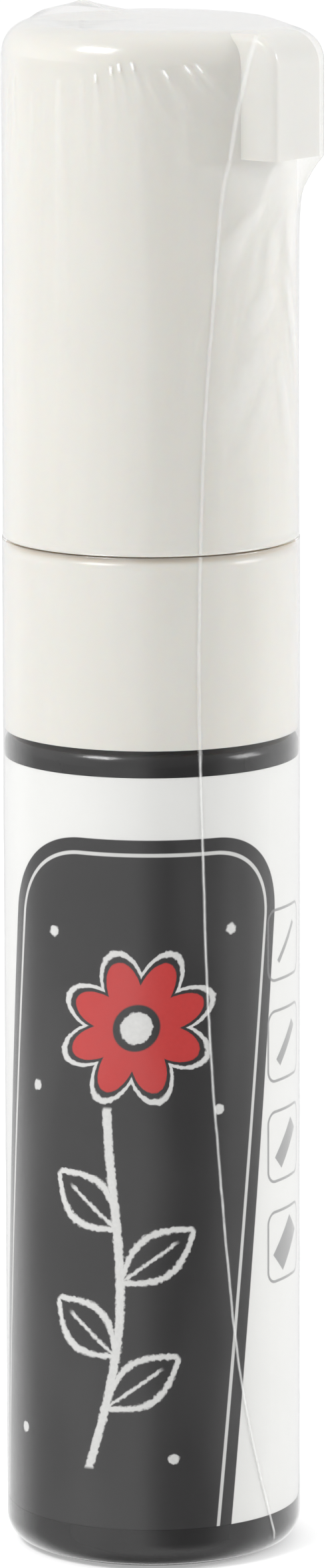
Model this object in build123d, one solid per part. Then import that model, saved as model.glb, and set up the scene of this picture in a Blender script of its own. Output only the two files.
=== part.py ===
from build123d import *
import os
from math import cos, hypot, pi, sin

# Broad-tip liquid chalk marker, capped and still in its clear shrink wrap.
# Millimetres. +Z runs up the marker's axis, the origin is the centre of the base that it stands on,
# and the clip on the cap points along +X. The sizes build outwards from the nib: each ring round it
# takes its radius from the ring inside it, a wall and a clearance.

# Felt nib
nib_width = 15.0
nib_depth = 8.0
nib_length = 33.0
nib_reach = 11.0  # nib standing out of the mouthpiece
nib_edge_round = 0.6
nib_clearance = 0.15  # nib to its slot, each side
pump_travel = 2.5  # how far the nib presses in

# Mouthpiece that guides the nib
tower_wall = 1.9  # round the nib slot
tower_corner = 3.2
tower_draft = 0.7  # narrower at the tip, each side
tower_height = 13.5  # above the sealing land
tower_edge_round = 0.7
land_ledge = 0.15  # sealing land beyond the tower's corners
land_height = 3.0  # sealing land above the cap seat
shoulder_rise = 3.8  # cone from the land up to the tower
flange_thickness = 1.5
flange_clearance = 0.15
spigot_clearance = 0.1

# Valve under the nib
pusher_thickness = 1.6
pusher_margin = 0.5  # plate inside the nib's outline, each side
pusher_port_radius = 1.0
pusher_port_inset = 1.9  # port centre in from the plate's edges
pusher_gap = 0.5  # left under the pusher when the nib is pressed
boss_wall = 1.4
boss_length = 3.0
boss_clearance = 0.05
stem_radius = 1.8
port_gap = 1.3  # ink way round the stem
poppet_radius = 4.6
poppet_thickness = 1.6
chamber_gap = 1.0  # ink way round the poppet
housing_wall = 1.9
housing_clearance = 0.1
housing_flange_step = 0.6  # flange edge in from the spigot's wall
housing_flange_thickness = 1.2
seat_thickness = 2.4
seal_thickness = 1.0
seal_clearance = 0.1
valve_gap = 0.05  # seal to seat with the valve shut
guide_length = 3.0  # pin that centres the spring
guide_clearance = 0.6
retainer_thickness = 1.4
plug_height = 2.2
plug_wall = 0.8
plug_clearance = 0.05
ink_slot_width = 1.4

# Valve spring
spring_length = 8.65  # as fitted, valve shut
spring_wire = 0.6
spring_wire_sides = 8  # the wire's section, drawn with few faces
spring_turns = 4
spring_clearance = 0.4  # coil to the retainer's plug
spring_end_gap = 0.02

# Collar and the seat that the cap clicks on
collar_height = 17.65
collar_wall = 1.85
collar_step = 0.05  # collar in from the barrel's wall
collar_round = 1.1
lip_thickness = 4.5  # lip that clamps the mouthpiece
lip_clearance = 0.1
seat_height = 8.6
seat_wall = 1.49
seat_lead = 0.5
seat_bead = 0.12
seat_bead_rise = 3.6  # bead above the collar

# Cap with its moulded clip
cap_height = 47.4
cap_wall = 1.45
cap_draft = 0.15  # narrower at the top
cap_round = 2.8
cap_top_wall = 1.8
cap_rim_bevel = 0.2
cap_gap = 0.2  # cap's rim to the collar
cap_step = 0.05  # cap in from the barrel's wall
slide_clearance = 0.2
bore_step_gap = 0.8  # cap's bore steps in above the seat
clip_stand = 3.5  # clip's outer face beyond the cap's wall
clip_width = 7.1
clip_height = 11.3
clip_drop = 0.25  # clip's top below the cap's top
clip_corner = 3.2
clip_edge_round = 0.7
clip_wall = 1.2
clip_core_depth = 8.5

# Soft inner cup of the cap
cup_wall = 0.9
cup_lip = 0.2
cup_lip_height = 0.8
cup_clearance = 0.15  # lip to the mouthpiece's land
cup_fit = 0.05
cup_gap = 0.6  # cup's mouth above the cap seat

# Barrel, the ink tank
barrel_height = 77.25  # base to shoulder
barrel_wall = 1.5
base_round = 2.6
foot_ring_width = 2.4
foot_recess = 0.8
floor_thickness = 2.2
tank_bevel = 1.5
shoulder_round = 1.6
shoulder_thickness = 2.5
neck_taper = 3.0
neck_wall = 1.3
neck_clearance = 0.1
neck_bead = 0.3
neck_bead_rise = 5.5  # bead above the shoulder
gasket_thickness = 0.8

# Label in its shallow seat
label_rise = 1.45  # above the base's round
band_height = 2.47  # bare barrel above the label
label_recess = 0.15
label_thickness = 0.1
label_clearance = 0.02

# Mixing balls
ball_radius = 4.0
ball_gap = 0.6
ball_rest_gap = 0.05

# Shrink film
film_thickness = 0.08
film_clearance = 0.05
film_split = 0.1  # between the two lengths, at the cap's rim
film_tuck = 50.0  # degrees round the base's edge

# Radii, from the nib outwards
slot_width = nib_width + 2 * nib_clearance
slot_depth = nib_depth + 2 * nib_clearance
tower_width = slot_width + 2 * tower_wall
tower_depth = slot_depth + 2 * tower_wall
tower_reach = hypot(tower_width / 2 - tower_corner, tower_depth / 2 - tower_corner) + tower_corner
land_radius = tower_reach + land_ledge
lip_bore = land_radius + lip_clearance
seat_radius = lip_bore + seat_wall
cap_bore = seat_radius + slide_clearance
cap_radius = cap_bore + cap_wall
cap_top_radius = cap_radius - cap_draft
clip_reach = cap_top_radius + clip_stand
cup_bore = land_radius + cup_clearance + cup_lip
cup_radius = cup_bore + cup_wall
cup_socket = cup_radius + cup_fit
barrel_radius = cap_radius + cap_step
collar_radius = barrel_radius - collar_step
collar_bore = collar_radius - collar_wall
neck_radius = collar_bore - neck_clearance
neck_bore = neck_radius - neck_wall
flange_radius = collar_bore - flange_clearance
spigot_radius = neck_bore - spigot_clearance
label_seat = barrel_radius - label_recess
label_inside = label_seat + label_clearance
tank_radius = label_seat - barrel_wall
foot_radius = barrel_radius - base_round - foot_ring_width
port_radius = stem_radius + port_gap
chamber_radius = poppet_radius + chamber_gap
housing_radius = chamber_radius + housing_wall
valve_bore = housing_radius + housing_clearance
plug_radius = chamber_radius - plug_clearance
plug_bore = plug_radius - plug_wall
spring_radius = plug_bore - spring_clearance - spring_wire / 2
guide_radius = spring_radius - spring_wire / 2 - guide_clearance

# Heights, from the base upwards
label_bottom = base_round + label_rise
label_top = barrel_height - band_height
taper_top = barrel_height - shoulder_thickness
taper_bottom = taper_top - neck_taper
neck_bead_height = barrel_height + neck_bead_rise
collar_top = barrel_height + collar_height
seat_bead_height = collar_top + seat_bead_rise
seat_top = collar_top + seat_height
clamp_height = collar_top - lip_thickness
flange_bottom = clamp_height - flange_thickness
neck_top = flange_bottom - gasket_thickness
land_top = seat_top + land_height
tower_top = land_top + tower_height
nib_tip = tower_top + nib_reach
nib_rear = nib_tip - nib_length
plate_bottom = nib_rear - pusher_thickness
slot_bottom = plate_bottom - pump_travel - pusher_gap
boss_bottom = plate_bottom - boss_length
housing_top = boss_bottom - pump_travel - pusher_gap
valve_seat_height = housing_top - seat_thickness
seal_top = valve_seat_height - valve_gap
poppet_top = seal_top - seal_thickness
poppet_bottom = poppet_top - poppet_thickness
housing_bottom = poppet_bottom - spring_length
spigot_bottom = housing_bottom + housing_flange_thickness
retainer_bottom = housing_bottom - retainer_thickness
cap_rim = collar_top + cap_gap
cap_top = cap_rim + cap_height
cap_ceiling = cap_top - cap_top_wall
cap_bore_step = seat_top + bore_step_gap
clip_top = cap_top - clip_drop
clip_bottom = clip_top - clip_height
cup_mouth = seat_top + cup_gap


# Helpers
def turned(*outline):
    """Solid of revolution about Z of a closed outline of (radius, height) points."""
    return revolve(Plane.XZ * make_face(Polyline(*outline, close=True)), Axis.Z)


def ridge(radius, height, proud):
    """Three outline points of a bead with 45 degree flanks, from its lower foot upwards."""
    return [(radius, height - proud), (radius + proud, height), (radius, height + proud)]


def rims(solid, radius, height):
    """The round edges of a turned solid at one radius and height."""
    return [
        edge
        for edge in solid.edges().filter_by(GeomType.CIRCLE)
        if abs(edge.radius - radius) < 0.001 and abs(edge.arc_center.Z - height) < 0.001
    ]


def block(width, depth, low, high):
    """Upright block centred on the axis, from one height to another."""
    return Pos(0, 0, low) * Box(width, depth, high - low, align=(Align.CENTER, Align.CENTER, Align.MIN))


def rod(radius, low, high):
    """Upright cylinder on the axis, from one height to another."""
    return Pos(0, 0, low) * Cylinder(radius, high - low, align=(Align.CENTER, Align.CENTER, Align.MIN))


# Barrel group
def make_barrel():
    """Black ink tank with a foot ring, a seat for the label and a beaded neck inside the collar."""
    tank = turned(
        (0, foot_recess),
        (foot_radius, foot_recess),
        (foot_radius, 0),
        (barrel_radius, 0),
        (barrel_radius, label_bottom),
        (label_seat, label_bottom),
        (label_seat, label_top),
        (barrel_radius, label_top),
        (barrel_radius, barrel_height),
        (neck_radius, barrel_height),
        *ridge(neck_radius, neck_bead_height, neck_bead),
        (neck_radius, neck_top),
        (neck_bore, neck_top),
        (neck_bore, taper_top),
        (tank_radius, taper_bottom),
        (tank_radius, floor_thickness),
        (0, floor_thickness),
    )
    tank = fillet(rims(tank, barrel_radius, 0), base_round)
    tank = fillet(rims(tank, barrel_radius, barrel_height), shoulder_round)
    return chamfer(rims(tank, tank_radius, floor_thickness), tank_bevel)


def make_label():
    """Printed sleeve lying in its seat on the barrel."""
    low = label_bottom + label_clearance
    high = label_top - label_clearance
    outside = label_inside + label_thickness
    return turned((label_inside, low), (outside, low), (outside, high), (label_inside, high))


def make_collar():
    """White ring that snaps over the barrel's neck, clamps the mouthpiece and carries the cap."""
    ring = turned(
        (collar_bore, barrel_height),
        (collar_radius, barrel_height),
        (collar_radius, collar_top),
        (seat_radius, collar_top),
        *ridge(seat_radius, seat_bead_height, seat_bead),
        (seat_radius, seat_top),
        (lip_bore, seat_top),
        (lip_bore, clamp_height),
        (collar_bore, clamp_height),
        *reversed(ridge(collar_bore, neck_bead_height, neck_bead)),
    )
    ring = fillet(rims(ring, collar_radius, collar_top), collar_round)
    return chamfer(rims(ring, seat_radius, seat_top), seat_lead)


def make_gasket():
    """Flat ring between the barrel's neck and the mouthpiece's flange."""
    return turned(
        (neck_bore, neck_top),
        (neck_radius, neck_top),
        (neck_radius, flange_bottom),
        (neck_bore, flange_bottom),
    )


def tower_section(height, inset):
    """Rounded rectangle round the nib slot at one height of the tower."""
    return Pos(0, 0, height) * RectangleRounded(
        tower_width - 2 * inset, tower_depth - 2 * inset, tower_corner - inset
    )


def make_mouthpiece():
    """Round body clamped by its flange, with a tapered tower that guides the nib."""
    body = turned(
        (0, spigot_bottom),
        (spigot_radius, spigot_bottom),
        (spigot_radius, flange_bottom),
        (flange_radius, flange_bottom),
        (flange_radius, clamp_height),
        (land_radius, clamp_height),
        (land_radius, land_top),
        (tower_depth / 2, land_top + shoulder_rise),
        (0, land_top + shoulder_rise),
    )
    tower = loft([tower_section(clamp_height, 0), tower_section(tower_top, tower_draft)])
    tower = fillet(tower.faces().sort_by(Axis.Z)[-1].edges(), tower_edge_round)
    slot = block(slot_width, slot_depth, slot_bottom, tower_top)
    return body + tower - slot - rod(valve_bore, spigot_bottom, slot_bottom)


def make_valve_housing():
    """Flanged plug in the mouthpiece: a port, the seat under it and the poppet's chamber."""
    flange = spigot_radius - housing_flange_step
    return turned(
        (chamber_radius, housing_bottom),
        (flange, housing_bottom),
        (flange, spigot_bottom),
        (housing_radius, spigot_bottom),
        (housing_radius, housing_top),
        (port_radius, housing_top),
        (port_radius, valve_seat_height),
        (chamber_radius, valve_seat_height),
    )


def make_spring_retainer():
    """Disc plugged into the valve chamber, with crossed ink slots under the spring."""
    drain = spring_radius - spring_wire
    disc = turned(
        (drain, retainer_bottom),
        (housing_radius, retainer_bottom),
        (housing_radius, housing_bottom),
        (plug_radius, housing_bottom),
        (plug_radius, housing_bottom + plug_height),
        (plug_bore, housing_bottom + plug_height),
        (plug_bore, housing_bottom),
        (drain, housing_bottom),
    )
    slot = block(2 * plug_bore, ink_slot_width, retainer_bottom, housing_bottom)
    return disc - slot - Rot(0, 0, 90) * slot


# Nib group
def make_nib():
    """Straight-cut felt block with eased edges."""
    felt = block(nib_width, nib_depth, nib_rear, nib_tip)
    felt = fillet(felt.edges().filter_by(Axis.Z), nib_edge_round)
    return fillet(felt.faces().sort_by(Axis.Z)[-1].edges(), nib_edge_round)


def make_nib_pusher():
    """Ported plate under the nib, with a boss that snaps on the valve stem."""
    width = nib_width - 2 * pusher_margin
    depth = nib_depth - 2 * pusher_margin
    socket_radius = stem_radius + boss_clearance
    plate = block(width, depth, plate_bottom, nib_rear)
    boss = rod(socket_radius + boss_wall, boss_bottom, plate_bottom)
    ports = GridLocations(width - 2 * pusher_port_inset, depth - 2 * pusher_port_inset, 2, 2)
    plate -= ports * rod(pusher_port_radius, plate_bottom, nib_rear)
    return plate + boss - rod(socket_radius, boss_bottom, plate_bottom)


def make_valve_stem():
    """Stem through the port, with the poppet under it and the spring's guide pin."""
    return turned(
        (0, poppet_bottom - guide_length),
        (guide_radius, poppet_bottom - guide_length),
        (guide_radius, poppet_bottom),
        (poppet_radius, poppet_bottom),
        (poppet_radius, poppet_top),
        (stem_radius, poppet_top),
        (stem_radius, plate_bottom),
        (0, plate_bottom),
    )


def make_valve_seal():
    """Rubber washer on the poppet."""
    inside = stem_radius + seal_clearance
    return turned(
        (inside, poppet_top), (poppet_radius, poppet_top), (poppet_radius, seal_top), (inside, seal_top)
    )


# Valve spring
def coil_point(turn, low, high):
    """Point on the spring's centre line after so many turns."""
    angle = 2 * pi * turn
    height = low + (high - low) * turn / spring_turns
    return Vector(spring_radius * cos(angle), spring_radius * sin(angle), height)


def coil_tangent(turn, low, high):
    """Direction of the spring's centre line after so many turns."""
    angle = 2 * pi * turn
    rise = (high - low) / (2 * pi * spring_turns)
    return Vector(-spring_radius * sin(angle), spring_radius * cos(angle), rise).normalized()


def biarc(start, start_tangent, end, end_tangent):
    """Two arcs from one point to another that meet on a shared tangent."""
    chord = end - start
    spread = start_tangent + end_tangent
    square = 2 * (1 - start_tangent.dot(end_tangent))
    linear = 2 * chord.dot(spread)
    reach = ((linear * linear + 4 * square * chord.dot(chord)) ** 0.5 - linear) / (2 * square)
    joint = (start + end + (start_tangent - end_tangent) * reach) * 0.5
    middle = (end - start - spread * reach).normalized()
    return [
        Edge.make_tangent_arc(start, start_tangent, joint),
        Edge.make_tangent_arc(joint, middle, end),
    ]


def make_spring():
    """One unbroken coil between the retainer and the poppet, drawn as half turns."""
    low = housing_bottom + spring_wire / 2 + spring_end_gap
    high = poppet_bottom - spring_wire / 2 - spring_end_gap
    halves = [i / 2 for i in range(2 * spring_turns + 1)]
    arcs = []
    for here, there in zip(halves, halves[1:]):
        arcs += biarc(
            coil_point(here, low, high),
            coil_tangent(here, low, high),
            coil_point(there, low, high),
            coil_tangent(there, low, high),
        )
    path = Wire(arcs)
    start = Plane(coil_point(0, low, high), z_dir=coil_tangent(0, low, high))
    samples = 48
    points = [coil_point(i / samples, low, high) for i in range(samples * spring_turns + 1)]
    gap = min(
        (points[j] - points[i]).length
        for i in range(len(points))
        for j in range(i + samples // 2, len(points))
    )
    print(f"valve_spring: least gap to itself {gap - spring_wire:.2f} mm")
    return sweep(start * RegularPolygon(spring_wire / 2, spring_wire_sides), path=path)


# Cap group
def clip_block(grow):
    """The clip's block, run in to the axis, with its faces moved out by a given amount."""
    low = clip_bottom - grow
    high = clip_top + grow
    reach = clip_reach + grow
    half = clip_width / 2 + grow
    side = Polyline((0, low), (reach, low), (reach, high), (0, high), close=True)
    lug = extrude(Plane.XZ * make_face(side), half, both=True)
    top_edge = lug.edges().filter_by(Axis.Y).sort_by(Axis.X)[-2:].sort_by(Axis.Z)[-1]
    lug = fillet(top_edge, clip_corner + grow)
    outline = [
        edge
        for edge in lug.edges()
        if abs(abs(edge.center().Y) - half) < 0.001
        and edge.center().X > 0.001
        and edge.center().Z > low + 0.001
    ]
    return fillet(outline, clip_edge_round + grow)


def cap_outside(grow, low):
    """The cap's outside with its clip, moved out by a given amount and cut off at a height."""
    high = cap_top + grow
    lean = cap_draft / cap_height
    foot = cap_radius + grow + lean * (cap_rim - low)
    crown = cap_top_radius + grow - lean * grow
    body = turned((0, low), (foot, low), (crown, high), (0, high))
    body = fillet(rims(body, crown, high), cap_round + grow)
    return body + clip_block(grow)


def make_cap():
    """Cap with a moulded, cored clip, bored for the collar's seat and for its inner cup."""
    shell = cap_outside(0, cap_rim)
    shell = chamfer(rims(shell, cap_radius, cap_rim), cap_rim_bevel)
    shell -= turned(
        (0, cap_rim),
        (cap_bore, cap_rim),
        *ridge(cap_bore, seat_bead_height, seat_bead),
        (cap_bore, cap_bore_step),
        (cup_socket, cap_bore_step),
        (cup_socket, cap_ceiling),
        (0, cap_ceiling),
    )
    core_length = clip_reach - clip_wall - cap_radius
    core = block(core_length, clip_width - 2 * clip_wall, clip_bottom, clip_bottom + clip_core_depth)
    return shell - Pos(cap_radius + core_length / 2, 0, 0) * core


def make_inner_cup():
    """Soft cup in the cap, with a lip that closes round the mouthpiece's land."""
    return turned(
        (cup_bore - cup_lip, cup_mouth),
        (cup_radius, cup_mouth),
        (cup_radius, cap_ceiling),
        (0, cap_ceiling),
        (0, cap_ceiling - cup_wall),
        (cup_bore, cap_ceiling - cup_wall),
        (cup_bore, cup_mouth + cup_lip_height + cup_lip),
        (cup_bore - cup_lip, cup_mouth + cup_lip_height),
    )


# Shrink film
def make_cap_film():
    """Film over the cap and its clip, open at the cap's rim."""
    edge = cap_rim + film_split / 2
    outside = cap_outside(film_clearance + film_thickness, edge)
    return outside - cap_outside(film_clearance, edge)


def make_barrel_film():
    """Film sleeve over collar and barrel, tucked round the base's edge."""
    edge = cap_rim - film_split / 2
    inside = barrel_radius + film_clearance
    outside = inside + film_thickness
    centre = (barrel_radius - base_round, base_round)
    tube = turned((inside, base_round), (outside, base_round), (outside, edge), (inside, edge))
    arcs = [
        CenterArc(centre, radius - centre[0], 0, -film_tuck) for radius in (inside, outside)
    ]
    ends = [Line(arcs[0] @ end, arcs[1] @ end) for end in (0, 1)]
    tuck = revolve(Plane.XZ * make_face(arcs + ends), Axis.Z)
    return tube + tuck


# Mixing balls
def make_ball(side):
    """Steel ball resting on the tank's floor, to one side of the axis."""
    return Pos(
        side * (ball_radius + ball_gap / 2), 0, floor_thickness + ball_radius + ball_rest_gap
    ) * Sphere(ball_radius)


pieces = {
    "barrel": make_barrel(),
    "label_sleeve": make_label(),
    "front_collar": make_collar(),
    "neck_gasket": make_gasket(),
    "mouthpiece": make_mouthpiece(),
    "valve_housing": make_valve_housing(),
    "spring_retainer": make_spring_retainer(),
    "valve_spring": make_spring(),
    "nib_pusher": make_nib_pusher(),
    "valve_stem": make_valve_stem(),
    "valve_seal": make_valve_seal(),
    "nib": make_nib(),
    "cap_shell": make_cap(),
    "cap_inner_cup": make_inner_cup(),
    "cap_film": make_cap_film(),
    "barrel_film": make_barrel_film(),
    "mixing_ball_a": make_ball(-1),
    "mixing_ball_b": make_ball(1),
}

os.makedirs("parts", exist_ok=True)
for name, shape in pieces.items():
    export_step(shape, f"parts/{name}.step")
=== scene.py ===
from math import acos, atan2, cos, degrees, exp, hypot, pi, radians, remainder, sin, sqrt

import bmesh
import bpy
from mathutils import Matrix, Vector, noise


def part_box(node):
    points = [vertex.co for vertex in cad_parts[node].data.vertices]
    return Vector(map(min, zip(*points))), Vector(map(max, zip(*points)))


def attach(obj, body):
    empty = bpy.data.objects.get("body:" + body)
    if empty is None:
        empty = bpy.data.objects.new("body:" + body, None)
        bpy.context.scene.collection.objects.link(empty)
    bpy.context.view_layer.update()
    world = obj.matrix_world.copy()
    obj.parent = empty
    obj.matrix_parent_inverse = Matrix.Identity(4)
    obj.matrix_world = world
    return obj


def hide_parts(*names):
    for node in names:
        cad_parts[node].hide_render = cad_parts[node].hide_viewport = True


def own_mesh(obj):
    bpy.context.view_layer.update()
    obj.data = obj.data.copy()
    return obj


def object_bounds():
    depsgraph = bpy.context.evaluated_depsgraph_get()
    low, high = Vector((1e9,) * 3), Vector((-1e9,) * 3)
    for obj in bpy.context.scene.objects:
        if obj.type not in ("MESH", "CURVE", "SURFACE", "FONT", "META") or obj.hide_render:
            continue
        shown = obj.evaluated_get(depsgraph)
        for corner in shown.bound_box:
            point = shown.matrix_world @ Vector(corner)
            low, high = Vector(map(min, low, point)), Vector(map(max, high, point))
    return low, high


# Liquid chalk marker in clear shrink film: the finish of every moulded piece, the printed label, the film
# with its folds and weld, the felt nib and the valve spring. Metres, in the CAD frame, with the clip of
# the cap along +X.
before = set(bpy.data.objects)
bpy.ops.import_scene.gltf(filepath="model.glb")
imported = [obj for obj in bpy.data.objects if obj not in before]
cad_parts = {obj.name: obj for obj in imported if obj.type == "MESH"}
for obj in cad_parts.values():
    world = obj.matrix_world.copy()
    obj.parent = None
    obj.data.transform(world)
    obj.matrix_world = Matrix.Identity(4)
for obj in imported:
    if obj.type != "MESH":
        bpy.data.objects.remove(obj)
cad_low, cad_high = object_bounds()
mm = 0.001

# Where the photograph looks from
front = radians(-53)  # plan angle of the view, from the clip
to_camera = Vector((cos(front), sin(front), 0))
to_right = Vector((-sin(front), cos(front), 0))
camera_distance = 789.55 * mm
camera_height = 217.09 * mm
camera_sidestep = 1.05 * mm
camera_pitch = radians(10.43)
camera_roll = radians(0.15)
frame_height_px = 2358
focal_px = 13034.5
sensor = 36.0

# Light tent, open towards the front, and the skirt below its table, darkest in front and brightest behind
tent_opening = radians(18)  # bearing of the opening from the camera
tent_level = 0.87
tent_horizon_level = 0.917
tent_horizon = (0.3, 0.6)  # where the horizon's level turns to the tent's, as the sine of the elevation
tent_front_level = 0.33
tent_front = (-0.2, 0.9)  # where the tent starts to darken and is darkest, as the cosine from its opening
table_edge = (-0.02, 0.02)  # where the skirt turns to the tent
skirt_opening = radians(26)
skirt_front_level = 0.13
skirt_front = (0.74, 0.985)  # where the skirt starts to darken and is darkest, likewise
skirt_side_level = 0.48
skirt_back = radians(168)
skirt_back_level = 0.92
skirt_bright = (-0.1, 0.5)  # where it starts to brighten and is brightest, as the cosine from its back
skirt_depth = (-1.25, -0.7)  # the skirt darkens towards its foot
floor_half = 6.0
floor_glow = 0.35

# Soft boxes: bearing from the camera, elevation, width, height and power
softbox_distance = 0.85
softboxes = {
    "left_softbox": (radians(-52), radians(48), 0.3, 0.22, 4.15),
    "right_softbox": (radians(84), radians(24), 0.3, 0.3, 2.7),
}

# Plastics: light and dark tone, and the depth of the grain
ivory_tones = [(0.755, 0.741, 0.692, 1), (0.718, 0.704, 0.658, 1)]
black_tones = [(0.0184, 0.0175, 0.0175, 1), (0.0138, 0.0134, 0.0138, 1)]
white_tones = [(0.64, 0.635, 0.61, 1), (0.60, 0.595, 0.57, 1)]
natural_tones = [(0.58, 0.58, 0.55, 1), (0.52, 0.52, 0.50, 1)]
cup_tones = [(0.62, 0.62, 0.59, 1), (0.57, 0.57, 0.55, 1)]
rubber_tones = [(0.03, 0.03, 0.03, 1), (0.02, 0.02, 0.021, 1)]
gloss_grain = 0.003 * mm
matt_grain = 0.006 * mm
rubber_grain = 0.01 * mm

# Points of a mesh that are closer than this are one
merge_distance = 0.0005 * mm

# Cap and clip, from the frame and the sizes of the clip
cap_low, cap_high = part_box("cap_shell")
cap_rim = cap_low.z
cap_top = cap_high.z
rim_radius = -cap_low.x
cap_draft = 0.15 * mm
cap_round = 2.8 * mm
cap_shoulder = cap_top - cap_round
cap_hub = rim_radius - cap_draft - cap_round  # radius of the flat top, inside its round
clip_reach = cap_high.x
clip_half_width = 3.55 * mm
clip_drop = 11.55 * mm  # from the cap's top to the clip's underside
clip_bottom = cap_top - clip_drop
rim_groove = cap_rim - 0.3 * mm  # height of the line between cap and collar
groove_shade_reach = (0.45 * mm, 0.1 * mm)  # how far its painted brown shade reaches, and how far it is full

# Shrink film
film_gap = 0.08 * mm
film_wall = 0.05 * mm
film_steps = 480
most_haze = 0.22  # of each face of the film
web_length = 4.0 * mm  # how fast the film falls back to the cap below the clip
web_full = 1.5 * mm  # how far off the cap the web below the clip is milkiest, its milkiness partly painted reflection
tent_full = 3.6 * mm  # and the film that is stretched beside the clip, likewise
edge_reach = 0.5 * mm  # how far the film's milky edge reaches from the cap's rim
ear_place = to_right * (-6.1 * mm) + to_camera * (-5.0 * mm)
ear_height = 1.35 * mm
ear_spread = 6.2 * mm
knot_height = 0.2 * mm
knot_radius = 0.4 * mm
ear_wave = 0.03 * mm
ear_wave_size = 3 * mm
crease_width = 0.2 * mm
crease_length = 5 * mm  # inwards from the ear's peak
crease_end = 0.8 * mm  # outwards from it

# Film on collar and barrel, in the middle of the CAD film's wall
barrel_film_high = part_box("barrel_film")[1]
barrel_film_top = barrel_film_high.z
collar_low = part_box("front_collar")[0].z
sleeve_radius = barrel_film_high.x - 0.04 * mm
sleeve_cockle = 0.03 * mm
sleeve_cockle_size = 5 * mm
sleeve_cloud_size = 4.5 * mm
sleeve_haze = 0.01  # of its clouds, on the barrel
collar_haze = 0.09  # more on the collar
sleeve_edge_haze = 0.08
base_round = 2.6 * mm
film_tuck = radians(50)

# How milky each kind of fold makes the film, and how high it stands; on the pleats, the web and the film
# beside the clip that milkiness is partly painted highlight and painted reflection
pleat_haze_and_glint = 0.9 / mm  # for each length of its height; partly milky fold, partly painted glint
smear_haze = 0.12
smear_fold = 0.11 * mm
tall_haze = 0.14
tall_fold = 0.12 * mm
cockle_fold = 0.02 * mm
# painted reflection: film standing off the cap below and beside the clip is partly milky, partly painted
# bright, which also lightens the shade under the clip
web_haze_and_sheen = 0.12
tent_haze_and_sheen = 0.26
crease_haze = 0.35
edge_haze = 0.16

# Sizes of the folds, across and down
tall_size = (1.7 * mm, 38 * mm)
tall_start = (4.5 * mm, 8 * mm)  # down from the cap's flat top
tall_run = 26 * mm
cockle_size = (5 * mm, 9 * mm)
streak_size = (1.5 * mm, 17 * mm)
strand_size = (0.6 * mm, 12 * mm)
smear_lean = 0.16
smear_kick = 2.2 * mm  # how far it bends away from the clip at first
smear_kick_run = 5 * mm
smear_spread = 4.2 * mm
smear_start = 2 * mm
smear_run = 19 * mm

# Weld of the film
weld_radius = 0.34 * mm
weld_core = 0.16 * mm  # width of its whitest part on the cap and the collar
weld_thin = 0.55  # share of that width on the label
weld_faint = 0.5  # its whiteness on the cap and the collar, as a share of that on the label
weld_turn = 1 * mm  # length below the collar in which it gets thin and white
weld_flat = 0.14  # share of a round bead's height
weld_lift = 0.05 * mm
weld_waver = 0.05 * mm
weld_waver_size = 1.1 * mm

# Pleats that the film's shrinking gathered below the cap's shoulder
pleat_width = 0.23 * mm
pleat_flare = 0.06  # how much wider for each length that it runs down
pleat_lip = 0.45 * mm
spark_height = 0.1 * mm  # of the pleats that have a painted highlight, a bright streak, at their head
spark_length = 1.0 * mm
spark_half_width = 0.19  # in millimetres
spark_strength = 0.8

# Pleats in front: plan angle from the clip, start on the way down from the top, lean towards the clip,
# length and height
shoulder_pleats = [
    (radians(-118), 6.0 * mm, 0.00, 10.0 * mm, 0.05 * mm),
    (radians(-104), 7.0 * mm, 0.00, 12.0 * mm, 0.05 * mm),
    (radians(-90), 6.0 * mm, 0.00, 12.0 * mm, 0.07 * mm),
    (radians(-80), 5.8 * mm, 0.05, 12.0 * mm, 0.06 * mm),
    (radians(-74), 5.1 * mm, 0.05, 6.0 * mm, 0.11 * mm),
    (radians(-68), 4.4 * mm, 0.10, 3.5 * mm, 0.11 * mm),
    (radians(-65), 4.1 * mm, 0.20, 3.0 * mm, 0.11 * mm),
    (radians(-60), 4.0 * mm, 0.30, 3.5 * mm, 0.11 * mm),
    (radians(-54), 5.4 * mm, 0.45, 5.0 * mm, 0.06 * mm),
    (radians(-48), 4.7 * mm, 0.60, 2.4 * mm, 0.13 * mm),
    (radians(-40), 4.3 * mm, 0.70, 2.2 * mm, 0.14 * mm),
    (radians(-36), 4.2 * mm, 0.75, 2.0 * mm, 0.14 * mm),
]
back_pleats = 17  # round the far side and the back
back_pleat_start = radians(44)
back_pleat_step = radians(10.5)

# Milky strokes where slack film sweeps down from the clip: plan angle from the clip in degrees and height
# in millimetres of both ends, half width in millimetres and strength
film_strokes = [
    (-3, 129.6, -28, 119.6, 2.0, 0.22),
    (4, 127.5, -5, 116.4, 1.8, 0.16),
    (3, 119.8, -14, 113.6, 2.0, 0.20),
    (-1, 115.4, -27, 104.6, 2.8, 0.22),
    (3, 112.0, -19, 102.0, 2.4, 0.16),
    (3, 129.0, 24, 117.0, 1.8, 0.22),
    (9, 121.0, 30, 108.0, 1.7, 0.20),
    (4, 113.0, 19, 101.5, 1.6, 0.20),
]

# The weld's run down the marker: height and plan angle from the clip, chosen along its line
weld_route = [
    (142.4 * mm, radians(-17)),
    (133.6 * mm, radians(-24.5)),
    (121.6 * mm, radians(-27)),
    (111.8 * mm, radians(-30.5)),
    (103.4 * mm, radians(-33)),
    (85.0 * mm, radians(-35)),
    (69.8 * mm, radians(-33.5)),
    (51.0 * mm, radians(-31)),
    (35.4 * mm, radians(-25.5)),
    (19.4 * mm, radians(-19)),
    (7.4 * mm, radians(-6.5)),
    (1.6 * mm, radians(3)),
]

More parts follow.
